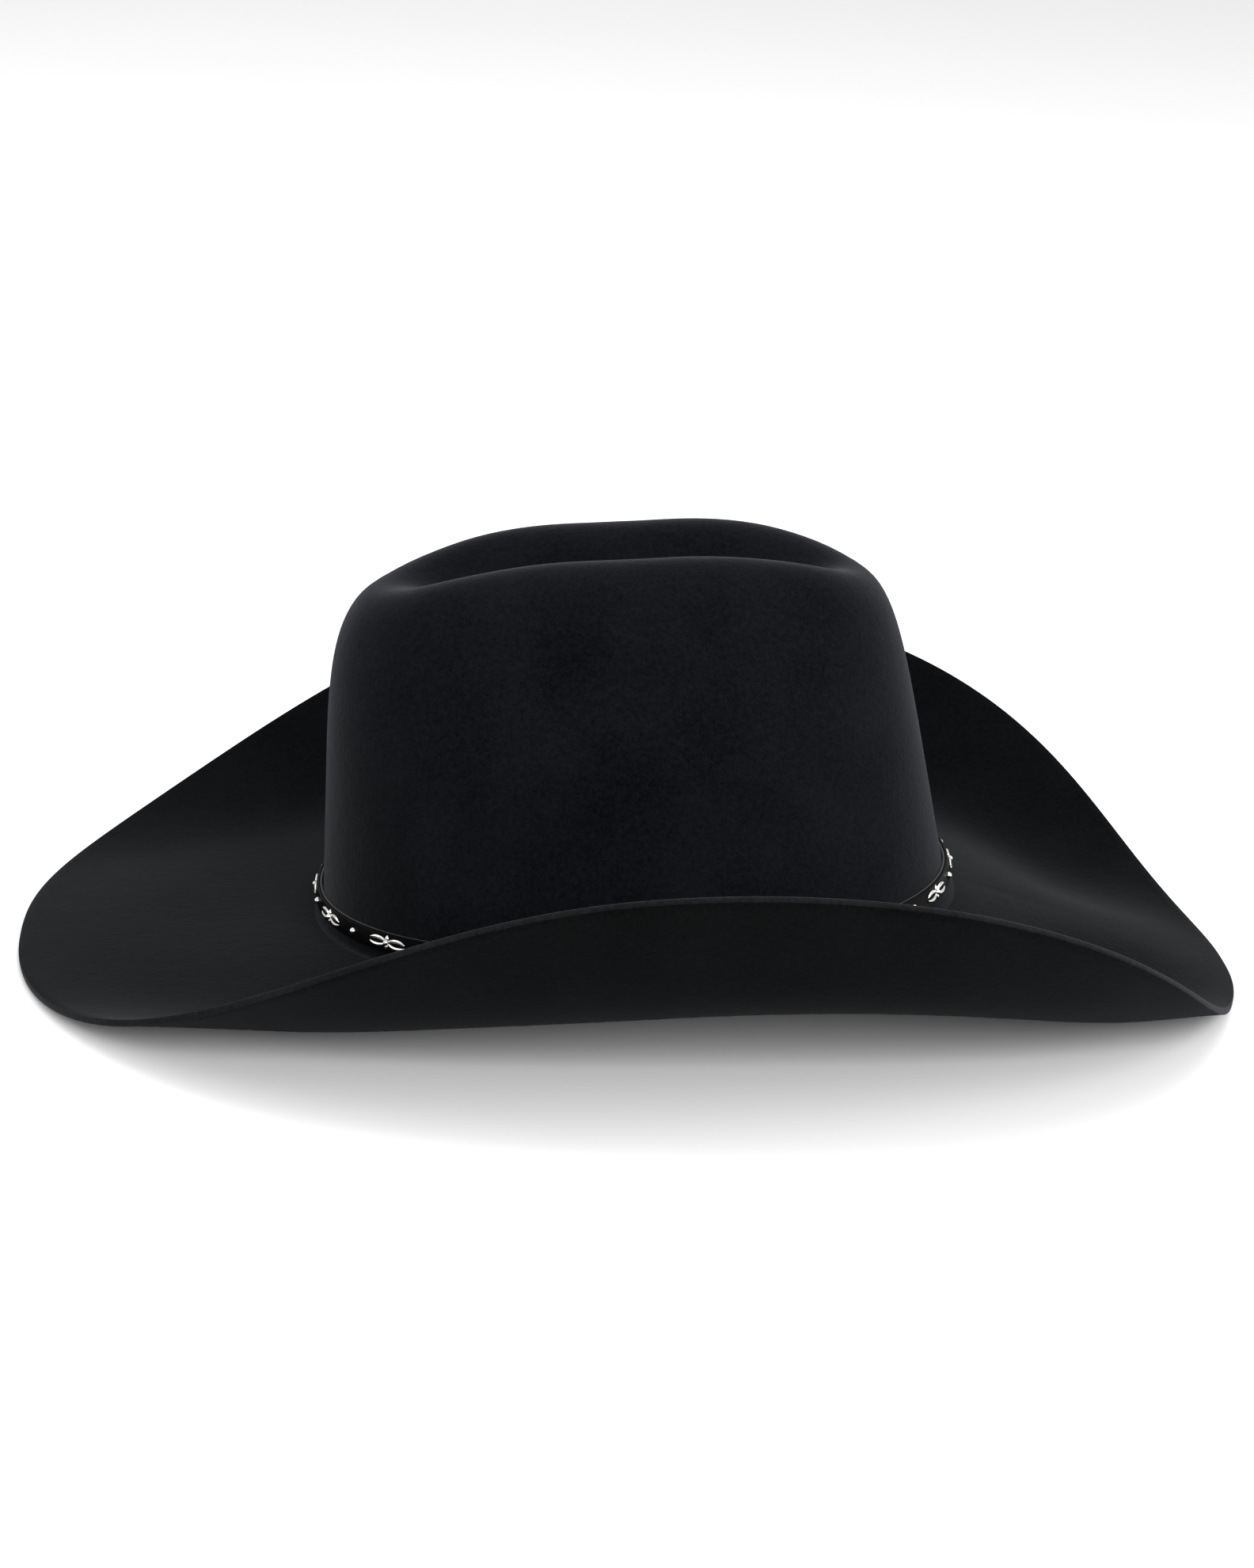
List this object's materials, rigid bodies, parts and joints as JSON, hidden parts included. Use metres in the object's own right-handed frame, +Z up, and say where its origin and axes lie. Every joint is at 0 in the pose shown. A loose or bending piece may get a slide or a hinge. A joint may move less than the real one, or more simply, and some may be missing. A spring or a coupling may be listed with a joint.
{
  "type": "cowboy hat",
  "caption": "Black felt western hat with a creased crown, turned-up brim, leather sweatband, satin lining and a silver-studded leather hat band with a buckle set.",
  "frame": {"origin": "centre of the bounding box in X and Y, on the surface that the hat stands on with the front and the back of its brim", "axes": "+X towards the front of the hat, +Y towards the wearer's left, +Z up; the head opening's plane is tipped 4.9 degrees, front end up, because the front of the brim dips lower than the back"},
  "size_m": [0.403, 0.338, 0.1432],
  "materials": {
    "felt": "short-napped fur felt, nearly black with a slight blue cast, matt",
    "sweat_leather": "smooth black roan leather, satin",
    "reed": "plain plastic cord",
    "tape": "black cotton tape",
    "thread": "black polyester thread",
    "ribbon": "black grosgrain ribbon",
    "satin": "black satin lining, soft sheen",
    "band_leather": "glossy black finished leather",
    "band_backing": "pale grey split-leather backing, matt",
    "silver": "bright cast metal plated to look like silver"
  },
  "bodies": {
    "hat": {"felt_body": "felt", "sweatband": "sweat_leather", "sweatband_reed": "reed", "reed_tape": "tape", "sweatband_stitches": "thread", "sweatband_seam_tab": "sweat_leather", "sweatband_bow": "ribbon", "lining_side": "satin", "lining_tip": "satin", "lining_piping": "satin"},
    "band": {"band_strap": "band_leather", "band_backing": "band_backing", "flower_studs": "silver", "bead_studs": "silver", "buckle_frame": "silver", "buckle_bar": "silver", "billet_tip": "silver", "chape_stitches": "thread"},
    "prong": {"buckle_prong": "silver"},
    "keeper": {"keeper_loop": "silver"}
  },
  "joints": [
    {"name": "band_lift", "type": "slide", "parent": "hat", "child": "band", "axis": [-0.0854, 0, 0.9963], "range_m": [0, 0.14]},
    {"name": "prong_swing", "type": "hinge", "parent": "band", "child": "prong", "pos_m": [-0.00017, 0.08685, 0.03209], "axis": [-0.0818, -0.2891, 0.9538], "range_deg": [0, 20]},
    {"name": "keeper_slide", "type": "slide", "parent": "band", "child": "keeper", "axis": [0.9895, 0.1172, 0.0848], "range_m": [-0.004, 0.004]}
  ]
}
